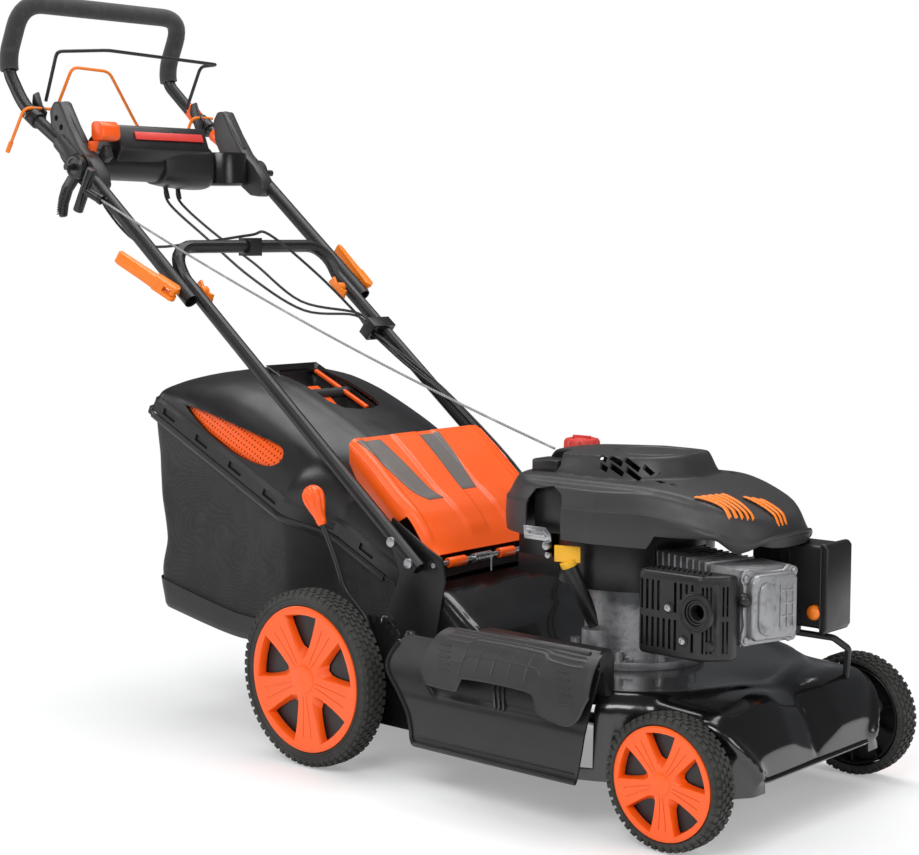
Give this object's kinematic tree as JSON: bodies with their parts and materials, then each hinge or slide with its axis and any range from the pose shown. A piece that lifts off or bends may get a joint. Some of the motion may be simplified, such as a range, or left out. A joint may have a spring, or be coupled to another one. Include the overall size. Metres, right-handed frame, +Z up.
{
  "type": "push lawn mower",
  "caption": "Walk-behind petrol lawn mower: steel deck, vertical-shaft engine, rear grass bag, side chute, folding handle with console and bails.",
  "frame": {"origin": "on the ground, in the middle of the whole outline", "axes": "+X forward, +Y to the left of a person who walks behind it, +Z up"},
  "size_m": [1.6584, 0.6, 1.2685],
  "materials": {
    "deck_paint": "gloss black enamel",
    "frame_paint": "satin black powder coat",
    "steel": "bare zinc-plated steel",
    "black_plastic": "fine-grained black moulding",
    "charcoal_plastic": "charcoal moulding",
    "orange_plastic": "semi-gloss orange moulding",
    "amber_plastic": "semi-gloss amber moulding",
    "red_plastic": "red moulding",
    "yellow_plastic": "yellow moulding",
    "cast_alloy": "die-cast alloy, lightly tumbled",
    "dark_iron": "dark iron",
    "tyre_rubber": "moulded rubber",
    "belt_rubber": "belt rubber",
    "cord_black": "cable jacket and cord",
    "foam": "closed-cell grip foam",
    "bag_fabric": "woven polyester"
  },
  "bodies": {
    "chassis": {"deck_shell": "deck_paint", "handle_brackets": "frame_paint", "lower_handle": "frame_paint", "fasteners": "steel", "flap_rod": "steel", "flap_spring": "steel", "height_rack": "frame_paint", "hinge_block": "black_plastic", "crankcase": "cast_alloy", "valve_cover": "cast_alloy", "muffler": "dark_iron", "muffler_guard": "frame_paint", "blower_housing": "black_plastic", "engine_cover": "charcoal_plastic", "fuel_tank": "black_plastic", "air_filter_box": "black_plastic", "drive_belt": "belt_rubber", "front_bar": "frame_paint", "tube_clips": "black_plastic", "gearbox": "cast_alloy", "side_chute": "black_plastic", "control_cables": "cord_black", "starter_rope": "cord_black"},
    "upper_handle": {"upper_tubes": "frame_paint", "clamp_bolts": "amber_plastic"},
    "cam_right": {"cam_lever_right": "amber_plastic"},
    "cam_left": {"cam_lever_left": "amber_plastic"},
    "control_head": {"console": "black_plastic", "grip_bar": "frame_paint", "foam_grip": "foam", "bail_brackets": "black_plastic"},
    "tilt_release": {"tilt_lever": "black_plastic"},
    "stop_bail": {"brake_bail": "frame_paint"},
    "travel_bail": {"drive_bail": "amber_plastic"},
    "throttle": {"throttle_lever": "amber_plastic"},
    "pull_grip": {"starter_handle": "black_plastic"},
    "crank": {"crankshaft": "steel", "blade_mount": "dark_iron", "blade": "steel"},
    "rear_lift": {"rear_axle": "frame_paint", "height_lever": "steel"},
    "front_lift": {"front_axle": "frame_paint"},
    "lift_link": {"link_rod": "steel"},
    "cross_shaft": {"drive_shaft": "steel"},
    "rear_right_wheel": {"wheel_rear_right": "orange_plastic", "tyre_rear_right": "tyre_rubber"},
    "rear_left_wheel": {"wheel_rear_left": "orange_plastic", "tyre_rear_left": "tyre_rubber"},
    "front_right_wheel": {"wheel_front_right": "orange_plastic", "tyre_front_right": "tyre_rubber"},
    "front_left_wheel": {"wheel_front_left": "orange_plastic", "tyre_front_left": "tyre_rubber"},
    "tank_cap": {"fuel_cap": "red_plastic"},
    "oil_stick": {"dipstick": "yellow_plastic"},
    "primer": {"primer_bulb": "amber_plastic"},
    "grass_bag": {"bag_top": "black_plastic", "bag_vents": "orange_plastic", "bag_fabric": "bag_fabric"},
    "back_flap": {"rear_flap": "orange_plastic"},
    "chute_flap": {"side_flap": "charcoal_plastic"}
  },
  "joints": [
    {"name": "rear_height", "type": "hinge", "parent": "chassis", "child": "rear_lift", "pos_m": [0.15518, 0, 0.165], "axis": [0, 1, 0], "range_deg": [0, 34.3]},
    {"name": "front_height", "type": "hinge", "parent": "chassis", "child": "front_lift", "pos_m": [0.78419, 0, 0.12], "axis": [0, 1, 0], "range_deg": [0, 53.2]},
    {"name": "link_turn", "type": "hinge", "parent": "rear_lift", "child": "lift_link", "pos_m": [0.1658, 0.188, 0.1306], "axis": [0, 1, 0], "range_deg": [-34.4, 0]},
    {"name": "cross_shaft_spin", "type": "hinge", "parent": "chassis", "child": "cross_shaft", "pos_m": [0.15518, 0, 0.165], "axis": [0, 1, 0], "continuous": true},
    {"name": "rear_right_spin", "type": "hinge", "parent": "rear_lift", "child": "rear_right_wheel", "pos_m": [0.07419, -0.277, 0.14], "axis": [0, 1, 0], "continuous": true},
    {"name": "rear_left_spin", "type": "hinge", "parent": "rear_lift", "child": "rear_left_wheel", "pos_m": [0.07419, 0.277, 0.14], "axis": [0, 1, 0], "continuous": true},
    {"name": "front_right_spin", "type": "hinge", "parent": "front_lift", "child": "front_right_wheel", "pos_m": [0.73418, -0.249, 0.095], "axis": [0, 1, 0], "continuous": true},
    {"name": "front_left_spin", "type": "hinge", "parent": "front_lift", "child": "front_left_wheel", "pos_m": [0.73418, 0.249, 0.095], "axis": [0, 1, 0], "continuous": true},
    {"name": "crank_spin", "type": "hinge", "parent": "chassis", "child": "crank", "pos_m": [0.49418, 0, 0.2], "axis": [0, 0, 1], "continuous": true},
    {"name": "handle_fold", "type": "hinge", "parent": "chassis", "child": "upper_handle", "pos_m": [-0.30544, 0, 0.73328], "axis": [0, 1, 0], "range_deg": [0, 120], "deforming": ["control_cables", "starter_rope"]},
    {"name": "cam_right_open", "type": "hinge", "parent": "upper_handle", "child": "cam_right", "pos_m": [-0.30544, -0.2323, 0.73328], "axis": [0.6252, 0, 0.7804], "range_deg": [-30, 24]},
    {"name": "cam_left_open", "type": "hinge", "parent": "upper_handle", "child": "cam_left", "pos_m": [-0.30544, 0.2323, 0.73328], "axis": [0.6252, 0, 0.7804], "range_deg": [-85, 0]},
    {"name": "head_tilt", "type": "hinge", "parent": "upper_handle", "child": "control_head", "pos_m": [-0.57469, 0, 0.94899], "axis": [0, 1, 0], "range_deg": [-12, 12], "deforming": ["control_cables"]},
    {"name": "tilt_lever_turn", "type": "hinge", "parent": "upper_handle", "child": "tilt_release", "pos_m": [-0.57469, -0.225, 0.94899], "axis": [0, 1, 0], "range_deg": [-25, 25]},
    {"name": "brake_bail_squeeze", "type": "hinge", "parent": "control_head", "child": "stop_bail", "pos_m": [-0.73381, 0, 1.075], "axis": [0, -1, 0], "range_deg": [0, 60], "stiffness_Nm_per_rad": 0.8},
    {"name": "drive_bail_squeeze", "type": "hinge", "parent": "control_head", "child": "travel_bail", "pos_m": [-0.71681, 0, 1.059], "axis": [0, -1, 0], "range_deg": [0, 40], "stiffness_Nm_per_rad": 0.5},
    {"name": "throttle_swing", "type": "hinge", "parent": "control_head", "child": "throttle", "pos_m": [-0.59581, -0.17, 0.985], "axis": [0, 1, 0], "range_deg": [-20, 20]},
    {"name": "starter_pull", "type": "slide", "parent": "upper_handle", "child": "pull_grip", "axis": [-0.8191, -0.3296, 0.4695], "range_m": [0, 0.4], "stiffness_N_per_m": 30, "springref_m": -0.3, "deforming": ["starter_rope"]},
    {"name": "fuel_cap_turn", "type": "hinge", "parent": "chassis", "child": "tank_cap", "pos_m": [0.34919, 0.05, 0.5], "axis": [0, 0, 1], "range_deg": [0, 90]},
    {"name": "dipstick_pull", "type": "slide", "parent": "chassis", "child": "oil_stick", "axis": [-0.271, -0.2919, 0.9173], "range_m": [0, 0.06]},
    {"name": "primer_press", "type": "slide", "parent": "chassis", "child": "primer", "axis": [0, 1, 0], "range_m": [0, 0.006], "stiffness_N_per_m": 500},
    {"name": "bag_slide", "type": "slide", "parent": "chassis", "child": "grass_bag", "axis": [-0.9048, 0, 0.4258], "range_m": [0, 0.4]},
    {"name": "rear_flap_lift", "type": "hinge", "parent": "chassis", "child": "back_flap", "pos_m": [0.23419, 0, 0.322], "axis": [0, 1, 0], "range_deg": [0, 35], "stiffness_Nm_per_rad": 0.6},
    {"name": "side_flap_lift", "type": "hinge", "parent": "chassis", "child": "chute_flap", "pos_m": [0.50418, -0.262, 0.246], "axis": [-1, 0, 0], "range_deg": [0, 70], "stiffness_Nm_per_rad": 0.3}
  ],
  "couplings": [
    {"joint": "front_height", "follows": "rear_height", "ratio": 1.5488},
    {"joint": "link_turn", "follows": "rear_height", "ratio": -1}
  ]
}
